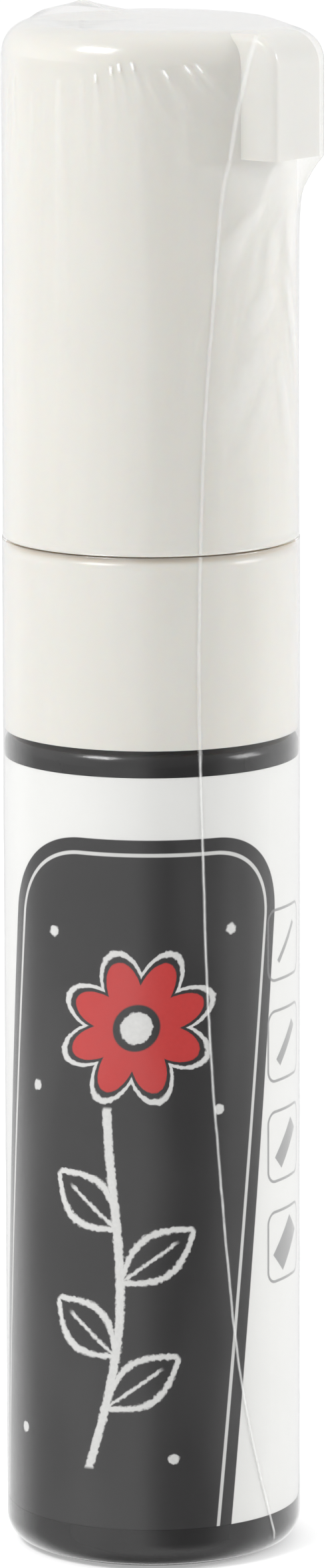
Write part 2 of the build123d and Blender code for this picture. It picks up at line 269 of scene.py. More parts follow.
# Label print, in millimetres: along the round from the middle of its front, and up from the base. A line
# is given by half its width.
label_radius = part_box("label_sleeve")[1].x
slate_lean = 0.10
slate_hinge = 38.0  # height where the leaning panel isn't shifted
slate_middle = (-3.4, 20.0)
slate_half = (14.4, 49.0)
slate_corner = 8.0
rule_inset = 1.4
rule_line = 0.17
chalk_crumble = 0.5
chalk_blur = 0.1
print_blur = 0.05
bloom_place = (0.6, 51.5)
bloom_radius = 7.4
bloom_petals = 8
bloom_line = 0.3
petal_dip = 0.34  # share of the radius by which the outline dips between petals
petal_inset = 0.9
petal_blur = 0.08
heart_radius = 1.5
heart_gap = (2.1, 2.3)
stem_low = 9.5
stem_sway = 1.7
stem_wave = 52.0
stem_line = 0.42
stem_end = 0.4
leaf_length = 8.2
leaf_width = 2.1
leaf_line = 0.26
leaf_rise = radians(38)
rib_line = 0.16
leaves = [(15.5, 1), (20.5, -1), (27.5, 1), (32.5, -1)]  # height on the stem, and which side
speck_radius = 0.5
specks = [(-8.6, 60.0), (8.8, 60.4), (-9.4, 45.2), (9.2, 43.6), (-8.4, 12.2), (8.0, 10.8)]
mark_place = 15.6
mark_half = 3.3
mark_corner = 1.1
mark_line = 0.13
mark_reach = 2.3  # half the length of its stroke
marks = [(58.0, 0.5), (48.5, 1.0), (39.0, 1.7), (29.5, 2.5)]  # height, and the width of its stroke
overlap_place = radians(168)  # of the label's seam, from the middle of its front
overlap_half = 0.004
overlap_blur = 0.003

# Nib and spring
nib_edge = 0.6 * mm
nib_cuts = 12
nib_wear = 0.03 * mm
nib_fibre = 0.5 * mm
spring_wire = 0.6 * mm
spring_turns = 4
spring_sides = 40  # of each turn


# Shader helpers
class Socket:
    """A shader socket that adds Math nodes when Python's own signs are used on it."""

    def __init__(self, tree, socket):
        self.tree = tree
        self.socket = socket

    def math(self, operation, *terms):
        return self.tree.node("ShaderNodeMath", {"operation": operation}, dict(enumerate(terms)))

    def __add__(self, other):
        return self.math("ADD", self, other)

    def __sub__(self, other):
        return self.math("SUBTRACT", self, other)

    def __rsub__(self, other):
        return self.math("SUBTRACT", other, self)

    def __mul__(self, other):
        return self.math("MULTIPLY", self, other)

    def __truediv__(self, other):
        return self.math("DIVIDE", self, other)

    def __pow__(self, other):
        return self.math("POWER", self, other)

    def __abs__(self):
        return self.math("ABSOLUTE", self)

    __radd__ = __add__
    __rmul__ = __mul__

    def least(self, other):
        return self.math("MINIMUM", self, other)

    def most(self, other):
        return self.math("MAXIMUM", self, other)

    def sine(self):
        return self.math("SINE", self)

    def fade(self, start, end):
        """0 at start and 1 at end, eased between them."""
        settings = {"interpolation_type": "SMOOTHSTEP"}
        return self.tree.node("ShaderNodeMapRange", settings, {"Value": self, 1: start, 2: end})


class Nodes:
    """A node tree that is filled node by node."""

    def __init__(self, tree):
        self.tree = tree
        self.tree.nodes.clear()

    def node(self, kind, settings=None, inputs=None, output=0):
        """Adds a node, sets it up, fills its sockets and returns one of its outputs."""
        made = self.tree.nodes.new(kind)
        for key, value in (settings or {}).items():
            setattr(made, key, value)
        for key, value in (inputs or {}).items():
            socket = made.inputs[key]
            if isinstance(value, Socket):
                self.tree.links.new(value.socket, socket)
            else:
                socket.default_value = value
        return Socket(self, made.outputs[output])

    def ends_in(self, kind, shader):
        """Links a shader to the tree's output node."""
        end = self.tree.nodes.new(kind)
        self.tree.links.new(shader.socket, end.inputs["Surface"])


class Finish(Nodes):
    """One material and the nodes that feed it."""

    def __init__(self, name):
        self.material = bpy.data.materials.new(name)
        self.material.use_nodes = True
        super().__init__(self.material.node_tree)
        self.place = self.node("ShaderNodeTexCoord", output="Object")

    def parts(self, vector):
        """The three lengths of a vector."""
        split = self.node("ShaderNodeSeparateXYZ", {}, {"Vector": vector})
        return [Socket(self, part) for part in split.socket.node.outputs]

    def noise(self, size, detail=3, stretch=(1, 1, 1)):
        """Soft noise from 0 to 1, with features of about one size in metres."""
        place = self.node("ShaderNodeMapping", {}, {"Vector": self.place, "Scale": stretch})
        return self.node("ShaderNodeTexNoise", {}, {"Vector": place, "Scale": 1 / size, "Detail": detail})

    def mix(self, factor, first, second):
        """Blend of two colours."""
        return self.node("ShaderNodeMix", {"data_type": "RGBA"}, {0: factor, 6: first, 7: second}, 2)

    def bump(self, height, distance):
        """Normal of a surface with a fine relief."""
        return self.node("ShaderNodeBump", {}, {"Height": height, "Distance": distance})

    def principled(self, inputs):
        return self.node("ShaderNodeBsdfPrincipled", {}, inputs)

    def blend(self, share, first, second):
        """Blend of two shaders."""
        return self.node("ShaderNodeMixShader", {}, {0: share, 1: first, 2: second})

    def shown(self, shader):
        """Ends the nodes in a shader and returns the material."""
        self.ends_in("ShaderNodeOutputMaterial", shader)
        return self.material


# Finishes
def moulded_plastic(name, light, dark, roughness, grain, specular=0.5, translucent=0.0, shaded_groove=None):
    """Injection moulded plastic: cloudy tone, faint flow streaks, a fine grain, and light that soaks in.

    A groove's height can be given, along which a brown shade is painted.
    """
    finish = Finish(name)
    cloud = finish.noise(9 * mm)
    flow = finish.noise(1.6 * mm, stretch=(1, 1, 0.12))
    fine = finish.noise(0.22 * mm, 2)
    colour = finish.mix(cloud * 0.7 + flow * 0.3, light, dark)
    if shaded_groove:
        height = finish.parts(finish.place)[2]
        # painted shade: a brownish shade along the groove where cap and collar meet
        groove_shade = abs(height - shaded_groove).fade(*groove_shade_reach)
        colour = finish.mix(groove_shade * (0.6 + 0.4 * flow), colour, (0.663, 0.571, 0.451, 1))
    shader = finish.principled(
        {
            "Base Color": colour,
            "Roughness": roughness - 0.06 + 0.08 * cloud + 0.04 * fine,
            "Specular IOR Level": specular,
            "Subsurface Weight": translucent,
            "Subsurface Radius": (1.0, 0.55, 0.3),
            "Subsurface Scale": 0.7 * mm,
            "Normal": finish.bump(fine * 0.6 + flow * 0.4, grain),
        }
    )
    return finish.shown(shader)


def rounded_box(across, up, middle, half, corner):
    """Distance outside a rounded rectangle, for a pattern on two lengths."""
    side = abs(across - middle[0]) - (half[0] - corner)
    rise = abs(up - middle[1]) - (half[1] - corner)
    outside = (side.most(0) ** 2 + rise.most(0) ** 2) ** 0.5
    return outside + side.most(rise).least(0) - corner


def printed(distance):
    """Printed patch, from the distance outside its edge."""
    return distance.fade(print_blur, -print_blur)


def drawn(distance, half_width, crumble):
    """Chalk stroke about a line, from the distance to it: full in its middle, crumbled at its edge."""
    return (distance - half_width + (crumble - 0.5) * chalk_crumble).fade(chalk_blur, -chalk_blur)


def chalk_flower(across, up, crumble):
    """Flower drawn in chalk: outline and heart of the bloom, swaying stem, two pairs of leaves and specks.

    Returns the chalk and the bloom's coloured petals, each from 0 to 1.
    """
    beside = across - bloom_place[0]
    above = up - bloom_place[1]
    reach = (beside**2 + above**2) ** 0.5
    around = above.math("ARCTAN2", above, beside)
    petal = abs((around * (bloom_petals / 2)).sine())
    rim = bloom_radius * (1 - petal_dip + petal_dip * petal)
    petals = (reach - rim + petal_inset + (crumble - 0.5) * 0.2).fade(petal_blur, -petal_blur)
    petals = petals * reach.fade(*heart_gap)
    chalk = drawn(abs(reach - rim), bloom_line, crumble).most(drawn(reach, heart_radius, crumble))

    def sway(height):
        return stem_sway * sin(2 * pi * (height - stem_low) / stem_wave)

    swayed = ((up - stem_low) * (2 * pi / stem_wave)).sine() * stem_sway
    stem = drawn(abs(across - swayed), stem_line, crumble)
    stem_top = bloom_place[1] - bloom_radius
    stem = stem * up.fade(stem_low, stem_low + stem_end) * up.fade(stem_top, stem_top - stem_end)
    chalk = chalk.most(stem)
    for height, side in leaves:
        out = (across - sway(height)) * side
        rise = up - height
        along = out * cos(leaf_rise) + rise * sin(leaf_rise)
        aside = abs(rise * cos(leaf_rise) - out * sin(leaf_rise))
        edge = (along * (pi / leaf_length)).sine() * leaf_width
        within = along.fade(-0.1, 0.2) * along.fade(leaf_length + 0.1, leaf_length - 0.2)
        rib = drawn(aside, rib_line, crumble) * along.fade(leaf_length * 0.8, leaf_length * 0.7)
        chalk = chalk.most(drawn(abs(aside - edge) * 0.8, leaf_line, crumble).most(rib) * within)
    for beside, height in specks:
        away = ((across - beside) ** 2 + (up - height) ** 2) ** 0.5
        chalk = chalk.most(drawn(away, speck_radius, crumble))
    return chalk, petals


def stroke_marks(across, up):
    """Rounded squares with samples of thin to broad strokes."""
    shown = None
    for height, width in marks:
        square = rounded_box(across, up, (mark_place, height), (mark_half, mark_half), mark_corner)
        ring = printed(abs(square) - mark_line)
        slanted = abs((across - mark_place) - (up - height)) * sqrt(0.5)
        crossed = abs((across - mark_place) + (up - height)) * sqrt(0.5)
        sample = printed((slanted - width / 2).most(crossed - mark_reach))
        mark = ring.most(sample)
        shown = mark if shown is None else shown.most(mark)
    return shown


def label_print():
    """White label with a leaning slate panel, a chalk flower with red petals and stroke-width marks."""
    finish = Finish("label_print")
    settings = {"rotation_type": "Z_AXIS"}
    turned = finish.node("ShaderNodeVectorRotate", settings, {"Vector": finish.place, "Angle": -front})
    ahead, aside, height = finish.parts(turned)
    angle = aside.math("ARCTAN2", aside, ahead)
    across = angle * (label_radius / mm)
    up = height / mm
    crumble = finish.noise(0.35 * mm, 5)
    tone = finish.noise(6 * mm)
    fibre = finish.noise(0.5 * mm, 3)
    leaning = across - slate_lean * (up - slate_hinge) - slate_middle[0]
    panel = rounded_box(leaning, up, (0, slate_middle[1]), slate_half, slate_corner)
    slate = printed(panel)
    rule = printed(abs(panel + rule_inset) - rule_line)
    chalk, petals = chalk_flower(leaning, up, crumble)
    overlap = (abs(abs(angle) - overlap_place) - overlap_half).fade(overlap_blur, -overlap_blur)
    paper = finish.mix(tone, (0.81, 0.81, 0.79, 1), (0.783, 0.783, 0.764, 1))
    ink = finish.mix(tone, (0.0276, 0.0267, 0.0276, 1), (0.0331, 0.0318, 0.0327, 1))
    red = finish.mix(crumble, (0.534, 0.0239, 0.0221, 1), (0.608, 0.0368, 0.0331, 1))
    colour = finish.mix(slate, paper, ink)
    colour = finish.mix(petals, colour, red)
    colour = finish.mix(chalk * (0.80 + 0.20 * crumble), colour, (0.79, 0.79, 0.773, 1))
    colour = finish.mix(rule * 0.9, colour, (0.737, 0.737, 0.718, 1))
    colour = finish.mix(stroke_marks(across, up) * 0.8, colour, (0.184, 0.184, 0.189, 1))
    colour = finish.mix(overlap * 0.35, colour, (0.415, 0.415, 0.405, 1))
    relief = fibre * 0.15 + slate * 0.5 + chalk * 0.5 - overlap * 2
    shader = finish.principled(
        {
            "Base Color": colour,
            "Roughness": 0.30 + 0.05 * fibre + 0.06 * chalk,
            "Normal": finish.bump(relief, 0.004 * mm),
        }
    )
    return finish.shown(shader)


def painted_glints():
    """Painted highlights: short bright streaks at the heads of the tall pleats, written like the film's
    strokes.
    """
    sparks = []
    for place, start, lean, _, height in shoulder_pleats:
        if height > spark_height:
            head = cap_shoulder + cap_round * pi / 2 - start
            tail = place + lean * spark_length / rim_radius
            ends = (degrees(place), head / mm, degrees(tail), (head - spark_length) / mm)
            sparks.append((*ends, spark_half_width, spark_strength))
    return sparks


def stroke_haze_and_glint(finish, strokes):
    """Strokes on the film, from 0 to 1: milky ones, and painted highlights written the same way."""
    outward, aside, height = finish.parts(finish.place)
    arc = aside.math("ARCTAN2", aside, outward) * (rim_radius / mm)
    up = height / mm
    brush = finish.noise(4.5 * mm, 1)
    shown = None
    for angle_a, height_a, angle_b, height_b, half_width, strength in strokes:
        start = Vector((radians(angle_a) * rim_radius / mm, height_a))
        run = Vector((radians(angle_b) * rim_radius / mm, height_b)) - start
        way = run.normalized()
        along = ((arc - start.x) * way.x + (up - start.y) * way.y) / run.length
        off = abs((arc - start.x) * way.y - (up - start.y) * way.x)
        taper = along.fade(-0.05, 0.25) * along.fade(1.05, 0.5)
        stroke = (off + (brush - 0.5) * half_width).fade(half_width, 0) * taper * strength
        shown = stroke if shown is None else shown.most(stroke)
    return shown


def clear_film(name):
    """Thin glossy film: see-through face on, mirror-like at a slant, milky along its creases, with painted
    highlights and reflections in its milky share.
    """
    finish = Finish(name)
    ripple = finish.noise(3.0 * mm, 2, (1, 1, 0.35))
    cockle = finish.noise(0.8 * mm, 2)
    normal = finish.bump(ripple * 0.8 + cockle * 0.2, 0.02 * mm)
    slant = finish.node("ShaderNodeLayerWeight", {}, {"Blend": 0.5, "Normal": normal}, "Facing")
    gloss = 0.045 + 0.955 * slant**5
    mirror = finish.principled(
        {
            "Base Color": finish.mix(ripple, (0.99, 0.99, 0.99, 1), (0.95, 0.95, 0.95, 1)),
            "Metallic": 1.0,
            "Roughness": 0.07 + 0.06 * ripple,
            "Normal": normal,
        }
    )
    milky_and_sheen = finish.principled(
        {
            "Base Color": finish.mix(ripple, (0.95, 0.95, 0.94, 1), (0.90, 0.90, 0.89, 1)),
            "Roughness": 0.25 + 0.10 * cockle,
            "Normal": normal,
        }
    )
    clear = finish.node("ShaderNodeBsdfTransparent", {}, {"Color": (0.985, 0.985, 0.985, 1)})
    # painted light: the milky share also carries painted highlights of the pleats and painted reflection
    # of film standing off the cap
    haze_and_sheen = finish.node("ShaderNodeAttribute", {"attribute_name": "haze_and_sheen"}, {}, "Fac")
    haze_and_sheen = haze_and_sheen.most(stroke_haze_and_glint(finish, film_strokes)).most(stroke_haze_and_glint(finish, painted_glints()))
    return finish.shown(finish.blend(haze_and_sheen, finish.blend(gloss, clear, mirror), milky_and_sheen))


def weld_plastic():
    """The film's melted weld: whitish along its middle, clear at its edges, uneven along its length."""
    finish = Finish("film_weld")
    lump = finish.noise(0.9 * mm, 3)
    core = finish.node("ShaderNodeAttribute", {"attribute_name": "core"}, {}, "Fac")
    bead = finish.principled(
        {
            "Base Color": finish.mix(lump, (0.97, 0.97, 0.96, 1), (0.90, 0.90, 0.89, 1)),
            "Roughness": 0.45 + 0.12 * lump,
            "Specular IOR Level": 0.1,
            "Normal": finish.bump(lump, 0.02 * mm),
        }
    )
    clear = finish.node("ShaderNodeBsdfTransparent")
    return finish.shown(finish.blend(core * (0.22 + 0.5 * lump), clear, bead))


def felt(name):
    """Pressed polyester felt: fine fibres along the nib, with darker pores between them."""
    finish = Finish(name)
    fibre = finish.noise(0.16 * mm, 4, (1, 1, 0.06))
    tuft = finish.noise(0.5 * mm, 3)
    nap = fibre * 0.7 + tuft * 0.3
    shader = finish.principled(
        {
            "Base Color": finish.mix(nap, (0.44, 0.44, 0.42, 1), (0.72, 0.72, 0.70, 1)),
            "Roughness": 0.85 + 0.1 * tuft,
            "Specular IOR Level": 0.2,
            "Sheen Weight": 0.3,
            "Normal": finish.bump(nap, 0.06 * mm),
        }
    )
    return finish.shown(shader)


def steel(name, roughness):
    """Bright steel with fine drawing marks."""
    finish = Finish(name)
    streak = finish.noise(0.1 * mm, 3)
    tone = finish.noise(2 * mm)
    shader = finish.principled(
        {
            "Base Color": finish.mix(tone, (0.60, 0.60, 0.61, 1), (0.52, 0.52, 0.54, 1)),
            "Metallic": 1.0,
            "Roughness": roughness + 0.1 * streak,
            "Normal": finish.bump(streak, 0.002 * mm),
        }
    )
    return finish.shown(shader)


def dress(material, *nodes):
    """Gives CAD nodes a finish."""
    for node in nodes:
        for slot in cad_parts[node].material_slots:
            slot.material = material


# Meshes
def spaced(start, end, step):
    """Even values from start up to, but not at, end."""
    count = max(round(abs(end - start) / step), 1)
    return [start + (end - start) * i / count for i in range(count)]


def stepped(start, stretches):
    """Values over stretches that follow each other, each given by its end and its step."""
    values = []
    for end, step in stretches:
        values += spaced(start, end, step)
        start = end
    return values


def eased(value, start, end):
    """0 at start and 1 at end, eased between them."""
    share = min(max((value - start) / (end - start), 0), 1)
    return share * share * (3 - 2 * share)


def bell(share):
    """1 in the middle, falling to both sides."""
    return exp(-(share**2))


def rumple(across, down, size, seed):
    """Noise about 0 with features of some size across and down."""
    return noise.noise((across / size[0], down / size[1], seed))


def spun_sheet(outline, steps):
    """Sheet of revolution about Z from an outline of (radius, height) points."""
    sheet = bmesh.new()
    points = [sheet.verts.new((r, 0, z)) for r, z in outline]
    edges = [sheet.edges.new(pair) for pair in zip(points, points[1:])]
    bmesh.ops.spin(
        sheet,
        geom=points + edges,
        cent=(0, 0, 0),
        axis=(0, 0, 1),
        angle=2 * pi,
        steps=steps,
        use_merge=True,
    )
    bmesh.ops.remove_doubles(sheet, verts=sheet.verts, dist=merge_distance)
    bmesh.ops.recalc_face_normals(sheet, faces=sheet.faces)
    return sheet


def curve_mesh(name, points, radius=0.0, order=None):
    """Mesh of a curve through or near some points: a bare line, or a round tube with closed ends."""
    curve = bpy.data.curves.new(name, "CURVE")
    curve.dimensions = "3D"
    curve.bevel_depth = radius
    curve.bevel_resolution = 8
    curve.use_fill_caps = True
    curve.resolution_u = 14
    spline = curve.splines.new("NURBS" if order else "POLY")
    spline.points.add(len(points) - 1)
    for control, point in zip(spline.points, points):
        control.co = (*point, 1)
    if order:
        spline.order_u = order
        spline.use_endpoint_u = True
    holder = bpy.data.objects.new(name, curve)
    line = bpy.data.meshes.new_from_object(holder)
    made = bmesh.new()
    made.from_mesh(line)
    bpy.data.objects.remove(holder)
    bpy.data.meshes.remove(line)
    bpy.data.curves.remove(curve)
    return made


def piece(name, shape, material, slot, body, *nodes):
    """Makes a finished bmesh an object that rides on a body and stands for CAD nodes."""
    mesh = bpy.data.meshes.new(name)
    shape.to_mesh(mesh)
    shape.free()
    for face in mesh.polygons:
        face.use_smooth = True
    mesh.materials.append(material)
    made = bpy.data.objects.new(name, mesh)
    bpy.context.scene.collection.objects.link(made)
    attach(made, body)
    if nodes:
        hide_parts(*nodes)
    return made


def thickened(made):
    """Gives a sheet the film's thickness, outwards."""
    wall = made.modifiers.new("film_wall", "SOLIDIFY")
    wall.thickness = film_wall
    wall.offset = 1


# Film on the cap
def cap_wall(height):
    """Radius of the cap's wall at a height, without its top round."""
    return rim_radius - cap_draft * (height - cap_rim) / (cap_top - cap_rim)


def cap_profile():
    """Outline of the film on a cap with no clip, from the rim up to the axis, dense at the pleats."""
    edge = (cap_rim + 1.5 * mm, 0.2 * mm)
    plain = (cap_shoulder - 10 * mm, 1.7 * mm)
    slack = (cap_shoulder - 2.2 * mm, 0.65 * mm)
    pleated = (cap_shoulder, 0.13 * mm)
    heights = stepped(cap_rim + film_gap, [edge, plain, slack, pleated])
    bends = stepped(0, [(radians(30), radians(2.6)), (pi / 2, radians(7.5))])
    bend_radius = cap_round + film_gap
    outline = [(cap_wall(z) + film_gap, z) for z in heights]
    outline += [(cap_hub + bend_radius * cos(a), cap_shoulder + bend_radius * sin(a)) for a in bends]
    outline += [(r, cap_top + film_gap) for r in spaced(cap_hub, 0, 0.44 * mm)]
    return outline + [(0, cap_top + film_gap)]


def way_down(plan, height):
    """Length along the film from the cap's flat top down to a point."""
    if height < cap_shoulder:
        return cap_round * pi / 2 + cap_shoulder - height
    return cap_round * (pi / 2 - atan2(height - cap_shoulder, max(plan - cap_hub, 0)))


def clip_stretch(angle, radius):
    """How far out the tight film stands at a plan angle, beside a round of some radius."""
    reach = clip_reach + film_gap
    half = clip_half_width + film_gap
    corner = atan2(half, reach)
    touch = corner + acos(radius / hypot(reach, half))
    if abs(angle) < corner:
        return reach / cos(angle)
    if abs(angle) < touch:
        return radius / cos(touch - abs(angle))
    return radius


def all_pleats():
    """The pleats that show in front, and more of their kind round the sides and the back."""
    pleats = list(shoulder_pleats)
    for i in range(back_pleats):
        spread = noise.noise((i * 1.7, 0.3, 0.9))
        size = noise.noise((i * 1.3, 4.1, 2.2))
        angle = back_pleat_start + back_pleat_step * (i + 0.6 * spread)
        near_clip = bell((angle - radians(35)) / radians(30))
        start = (4.3 + spread) * mm
        lean = -0.7 * near_clip + 0.1 * size
        length = (4.5 + 3 * size) * mm
        height = (0.11 + 0.07 * size) * mm
        pleats.append((angle, start, lean, length, height))
    return pleats


def pleat_rise(pleats, angle, drop):
    """Height of the pleats at a plan angle and a length down from the top."""
    rise = 0
    for place, start, lean, length, height in pleats:
        run = drop - start
        if run < -pleat_lip:
            continue
        aside = remainder(angle - place, 2 * pi) * rim_radius - lean * run
        width = pleat_width + pleat_flare * max(run, 0)
        if abs(aside) > 3 * width:
            continue
        crest = height * eased(run, -pleat_lip, pleat_lip) * bell(aside / width)
        rise += crest * exp(-max(run, 0) / length)
    return rise


def smear_depth(angle, under):
    """Slack streaks of film that sweep away from the clip as they run down from it, 0 to about 1."""
    arc = angle * rim_radius
    side = 1 if arc > 0 else -1
    sweep = abs(arc) - smear_lean * under - smear_kick * (1 - exp(-under / smear_kick_run))
    streak = rumple(sweep, under, streak_size, 8.3 + 3 * side)
    strand = rumple(sweep, under, strand_size, 2.6 + 5 * side)
    spread = bell(sweep / smear_spread) * eased(under, 0, smear_start) * exp(-under / smear_run)
    return max(streak + 0.4 * strand, 0) * spread


def ear_rise(point):
    """Height of the gathered ear of film above the cap's top."""
    away = hypot(point.x - ear_place.x, point.y - ear_place.y)
    slope = max(1 - away / ear_spread, 0)
    knot = knot_height * bell(away / knot_radius)
    wave = rumple(point.x, point.y, (ear_wave_size, ear_wave_size), 5.5)
    return ear_height * slope**1.2 + knot + ear_wave * max(wave, 0)


def ear_crease(point):
    """How close a point of the top is to the crease that runs from the ear's peak over the top, 0 to 1."""
    plan = hypot(point.x, point.y)
    peak = hypot(ear_place.x, ear_place.y)
    aside = remainder(atan2(point.y, point.x) - atan2(ear_place.y, ear_place.x), 2 * pi) * plan
    along = eased(plan, peak - crease_length, peak) * eased(plan, peak + crease_end, peak)
    return bell(aside / crease_width) * along


def on_cap_film(pleats, point):
    """Where the film lies and how milky it is, painted highlights and reflections included, from a point
    of the film on a cap with no clip.
    """
    plan = hypot(point.x, point.y)
    angle = atan2(point.y, point.x)
    drop = way_down(plan, point.z)
    under = max(clip_bottom - point.z, 0)
    wall = cap_wall(point.z) + film_gap
    stretch = (clip_stretch(angle, wall) / wall - 1) * exp(-under / web_length)
    pleat = pleat_rise(pleats, angle, drop)
    smear = smear_depth(angle, under)
    tall = max(rumple(angle * rim_radius, drop, tall_size, 3.1), 0)
    tall *= eased(drop, *tall_start) * exp(-drop / tall_run)
    cockle = max(rumple(angle * rim_radius, point.z, cockle_size, 1.7), 0)
    fold = pleat + smear_fold * smear + tall_fold * tall + cockle_fold * cockle
    out = plan * (1 + stretch) + fold * min(plan / wall, 1)
    on_top = point.z > cap_top
    lift = ear_rise(point) if on_top else 0
    crease = ear_crease(point) if on_top else 0
    web = min(stretch * wall / web_full, 1) * eased(under, 0, 1 * mm)
    tent = (stretch * wall / tent_full) ** 2 * min(plan / wall, 1) ** 8
    edge = bell((point.z - cap_rim) / edge_reach)
    haze_and_sheen = pleat_haze_and_glint * pleat + smear_haze * smear + tall_haze * tall
    haze_and_sheen += web_haze_and_sheen * web + tent_haze_and_sheen * tent + crease_haze * crease + edge_haze * edge
    return Vector((out * cos(angle), out * sin(angle), point.z + lift)), min(haze_and_sheen, most_haze)


def make_cap_wrap(film, pleats):
    """Film over the cap: tight round the clip, webbed under it, pleated, with a puckered ear on top."""
    sheet = spun_sheet(cap_profile(), film_steps)
    milky_and_sheen = sheet.verts.layers.float.new("haze_and_sheen")
    for point in sheet.verts:
        point.co, point[milky_and_sheen] = on_cap_film(pleats, point.co)
    thickened(piece("cap_wrap", sheet, film, "clear_film", "cap_unit", "cap_film"))


# Film on collar and barrel
def barrel_outline():
    """Outline of the film on collar and barrel, from under the base's edge up to the cap's rim."""
    hub = sleeve_radius - base_round
    bends = spaced(-film_tuck, 0, radians(4))
    plain = (barrel_film_top - 1.5 * mm, 1.2 * mm)
    edge = (barrel_film_top, 0.15 * mm)
    outline = [(hub + base_round * cos(a), base_round * (1 + sin(a))) for a in bends]
    outline += [(sleeve_radius, z) for z in stepped(base_round, [plain, edge])]
    return outline + [(sleeve_radius, barrel_film_top)]


def make_barrel_wrap(film):
    """Film sleeve on collar and barrel, faintly cockled and clouded, tucked round the base's edge."""
    sheet = spun_sheet(barrel_outline(), film_steps // 2)
    milky_and_sheen = sheet.verts.layers.float.new("haze_and_sheen")
    for point in sheet.verts:
        plan = hypot(point.co.x, point.co.y)
        cockle = max(noise.noise(point.co / sleeve_cockle_size), 0)
        cloud = noise.noise(Vector((point.co.x, point.co.y, point.co.z * 0.4)) / sleeve_cloud_size)
        swell = 1 + cockle * sleeve_cockle / plan
        edge = bell((point.co.z - barrel_film_top) / edge_reach)
        on_collar = eased(point.co.z, collar_low, collar_low + 2 * mm)
        clouded = (sleeve_haze + collar_haze * on_collar) * max(cloud, 0)
        point[milky_and_sheen] = clouded + sleeve_edge_haze * edge
        point.co = Vector((point.co.x * swell, point.co.y * swell, point.co.z))
    thickened(piece("barrel_wrap", sheet, film, "clear_film", "barrel_unit", "barrel_film"))


# Weld
def film_point(pleats, height, angle):
    """A point on the outside of the film."""
    if height > cap_rim:
        radius = cap_wall(height) + film_gap
        return on_cap_film(pleats, Vector((radius * cos(angle), radius * sin(angle), height)))[0]
    lift = max(base_round - height, 0)
    radius = sleeve_radius - base_round + sqrt(base_round**2 - lift**2)
    return Vector((radius * cos(angle), radius * sin(angle), height))


def smooth_route():
    """Heights and plan angles along a smooth curve through the run of the weld's chosen points."""
    line = curve_mesh("route", [(height / mm, angle * 100, 0) for height, angle in weld_route], order=3)
    route = [(v.co.x * mm, v.co.y / 100) for v in line.verts]
    line.free()
    return route


def cut_route(route, low, high):
    """The run of a falling route between two heights, with its ends at those heights."""
    run = []
    for (above, angle_above), (below, angle_below) in zip(route, route[1:]):
        if above <= low or below >= high:
            continue
        for height in (min(above, high), max(below, low)):
            share = (above - height) / (above - below)
            run.append((height, angle_above + share * (angle_below - angle_above)))
    return run[:1] + run[1::2]


def make_weld(name, route, pleats, material, body):
    """Low melted bead along a run of the film's weld, wavering a little, its middle marked as its core."""
    points = []
    for height, angle in route:
        waver = weld_waver * noise.noise((height / weld_waver_size, 0.4, 0.7))
        points.append(film_point(pleats, height, angle + waver / sleeve_radius))
    bead = curve_mesh(name, points, weld_radius)
    bmesh.ops.remove_doubles(bead, verts=bead.verts, dist=merge_distance)
    core = bead.verts.layers.float.new("core")
    for point in bead.verts:
        plan = hypot(point.co.x, point.co.y)
        nearest = min(points, key=lambda middle: (middle - point.co).length)
        aside = (point.co - nearest).dot(Vector((-point.co.y, point.co.x, 0))) / plan
        on_label = eased(point.co.z, collar_low, collar_low - weld_turn)
        width = weld_core * (1 + (weld_thin - 1) * on_label)
        point[core] = bell(aside / width) * (weld_faint + (1 - weld_faint) * on_label)
        under = film_point(pleats, point.co.z, atan2(point.co.y, point.co.x))
        flat = weld_flat + ((1 - weld_flat) * hypot(under.x, under.y) + weld_lift) / plan
        point.co = Vector((point.co.x * flat, point.co.y * flat, point.co.z))
    made = piece(name, bead, material, "clear_film", body)
    made.visible_shadow = False


# Nib and spring
def make_nib(material):
    """Felt nib with a softly worn edge and a fibrous face."""
    low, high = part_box("nib")
    block = bmesh.new()
    bmesh.ops.create_cube(block, size=1)
    bmesh.ops.scale(block, vec=high - low, verts=block.verts)
    bmesh.ops.translate(block, vec=(high + low) / 2, verts=block.verts)
    bmesh.ops.bevel(
        block, geom=block.edges[:], offset=nib_edge, segments=4, profile=0.5, affect="EDGES", material=-1
    )
    bmesh.ops.subdivide_edges(block, edges=block.edges[:], cuts=nib_cuts, use_grid_fill=True)
    block.normal_update()
    for point in block.verts:
        grain = noise.noise(Vector((point.co.x, point.co.y, point.co.z * 0.15)) / nib_fibre)
        point.co -= point.normal * (nib_wear * (1 + grain))
    piece("felt_nib", block, material, "nib_felt", "nib_unit", "nib")


def make_spring(material):
    """Coil of round wire between the retainer and the poppet."""
    low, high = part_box("valve_spring")
    radius = high.x - spring_wire / 2
    start = low.z + spring_wire / 2
    rise = high.z - low.z - spring_wire
    steps = spring_turns * spring_sides
    points = []
    for i in range(steps + 1):
        angle = 2 * pi * i / spring_sides
        points.append((radius * cos(angle), radius * sin(angle), start + rise * i / steps))
    coil = curve_mesh("coil", points, spring_wire / 2)
    bmesh.ops.remove_doubles(coil, verts=coil.verts, dist=merge_distance)
    made = piece("spring_coil", coil, material, "spring_steel", "barrel_unit", "valve_spring")
    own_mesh(made)


# Studio
def make_floor():
    """Pale, faintly glowing light table, which shiny surfaces don't mirror."""
    sheet = bmesh.new()
    bmesh.ops.create_grid(sheet, x_segments=4, y_segments=4, size=floor_half)
    mesh = bpy.data.meshes.new("studio_floor")
    sheet.to_mesh(mesh)
    sheet.free()
    finish = Finish("studio_floor")
    cloud = finish.noise(0.4)
    colour = finish.mix(cloud, (0.93, 0.93, 0.93, 1), (0.90, 0.90, 0.90, 1))
    shader = finish.principled(
        {
            "Base Color": colour,
            "Roughness": 0.7,
            "Specular IOR Level": 0.1,
            "Emission Color": (1, 1, 1, 1),
            "Emission Strength": floor_glow,
        }
    )
    mesh.materials.append(finish.shown(shader))
    floor = bpy.data.objects.new("studio_floor", mesh)
    floor.visible_glossy = False
    bpy.context.scene.collection.objects.link(floor)


